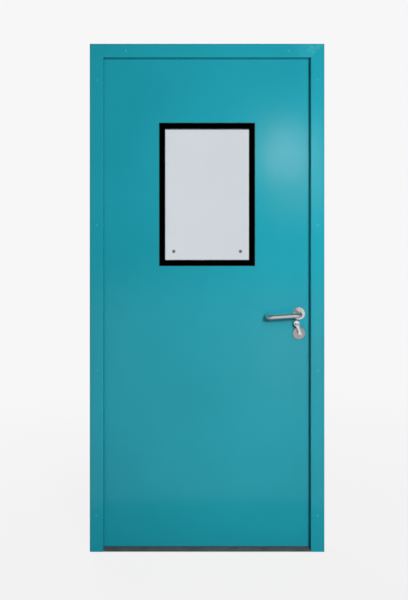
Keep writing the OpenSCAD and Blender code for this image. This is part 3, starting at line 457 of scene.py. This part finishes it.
def quad(name, corners, material):
    """A flat sheet with four corners."""
    mesh = bpy.data.meshes.new(name)
    mesh.from_pydata(corners, [], [(0, 1, 2, 3)])
    mesh.materials.append(material)
    sheet = bpy.data.objects.new(name, mesh)
    bpy.context.scene.collection.objects.link(sheet)
    return sheet


def build_floor(half):
    """A wide floor just under the door."""
    corners = [(-half, -half, 0.0), (half, -half, 0.0), (half, half, 0.0), (-half, half, 0.0)]
    floor = quad("floor", corners, floor_material())
    floor.location.z = CAD_BOX[0][2] - FLOOR_DROP


def card_material(name, cloth_size=0.01):
    """Dark matt cloth."""
    material, tree, shader = new_material(name)
    cloth = noise(tree, cloth_size)
    feed(tree, shader, Base_Color=blend_colours(tree, cloth, CARD_DARK, CARD_LIGHT))
    shader.inputs["Roughness"].default_value = 1.0
    return material


def build_card(name, place, half_w, height, tilt=0.0, turn=0.0):
    """A dark card that only reflections see, for gloss paint, glass and metal."""
    corners = [(-half_w, 0.0, 0.0), (half_w, 0.0, 0.0),
               (half_w, 0.0, height), (-half_w, 0.0, height)]
    card = quad(name, corners, card_material(name))
    card.location = place
    card.rotation_euler = (tilt, 0.0, turn)
    for kind in ("camera", "diffuse", "transmission", "volume_scatter", "shadow"):
        setattr(card, f"visible_{kind}", False)


def build_cards():
    build_card("front_card", place=(0.0, -11.0, 0.0), half_w=9.0, height=9.0)
    build_card("floor_card", place=(0.0, -0.006, 0.001), half_w=3.0, height=0.50, tilt=QUARTER)
    build_card("left_card", place=(-3.5, 0.0, 0.0), half_w=6.0, height=6.0, turn=QUARTER)
    build_card("right_card", place=(3.5, 0.0, 0.0), half_w=6.0, height=6.0, turn=QUARTER)
    build_card("top_card", place=(0.0, 3.0, 5.5), half_w=3.5, height=9.0, tilt=QUARTER)


def soft_box(name, place, target, size, power, reflected=False, beam=180.0):
    """An area lamp that faces a target, with its beam angle, mirrored in gloss or not."""
    lamp = bpy.data.lights.new(name, "AREA")
    lamp.shape = "RECTANGLE"
    lamp.size, lamp.size_y = size
    lamp.energy = power
    lamp.spread = math.radians(beam)
    obj = bpy.data.objects.new(name, lamp)
    obj.visible_camera = False
    obj.visible_glossy = reflected
    obj.location = place
    obj.rotation_euler = (Vector(target) - Vector(place)).to_track_quat("-Z", "Y").to_euler()
    bpy.context.scene.collection.objects.link(obj)


def build_lights():
    """Light from the upper right, its mirrored patch, two small fills and light behind."""
    soft_box("key", place=(0.88, -3.3, 2.05), target=DOOR_MIDDLE, size=(0.40, 0.40), power=98.0)
    soft_box("glint", place=(0.70, -3.4, 1.98), target=DOOR_MIDDLE, size=(0.36, 0.42), power=5.2,
             reflected=True)
    soft_box("low", place=(0.70, -2.8, 0.35), target=(0.15, 0.0, 0.2), size=(0.5, 0.5),
             power=0.75, beam=40.0)
    soft_box("glow", place=(0.50, -0.9, 1.55), target=(0.40, 0.0, 1.5), size=(0.30, 0.30),
             power=2.6)
    soft_box("rear", place=(-1.8, 3.6, 2.8), target=DOOR_MIDDLE, size=(1.8, 1.8), power=170.0)


def build_camera():
    """Straight on, framed so that the door's sides and foot fall on their pixels."""
    low, high = (Vector(corner) for corner in (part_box("hinge_jamb")[0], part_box("strike_jamb")[1]))
    metres_per_px = (high.x - low.x) / (DOOR_RIGHT_PX - DOOR_LEFT_PX)
    view = metres_per_px * PHOTO_H
    centre_x = low.x + (PHOTO_W / 2 - DOOR_LEFT_PX) * metres_per_px
    centre_z = low.z + (DOOR_BOTTOM_PX - PHOTO_H / 2) * metres_per_px
    data = bpy.data.cameras.new("camera")
    data.sensor_width = SENSOR_MM
    data.sensor_fit = "AUTO"
    data.lens = SENSOR_MM * CAMERA_DISTANCE / view
    data.shift_x = centre_x / view
    data.shift_y = (centre_z - CAMERA_HEIGHT) / view
    camera = bpy.data.objects.new("camera", data)
    camera.location = (0.0, low.y - CAMERA_DISTANCE, CAMERA_HEIGHT)
    camera.rotation_euler = (QUARTER, 0.0, 0.0)
    bpy.context.scene.collection.objects.link(camera)
    bpy.context.scene.camera = camera


dress_nodes()
for name, width in EDGES.items():
    soften(name, width)
build_world()
build_floor(FLOOR_HALF)
build_cards()
build_lights()
build_camera()
bpy.context.scene.view_settings.view_transform = "Standard"
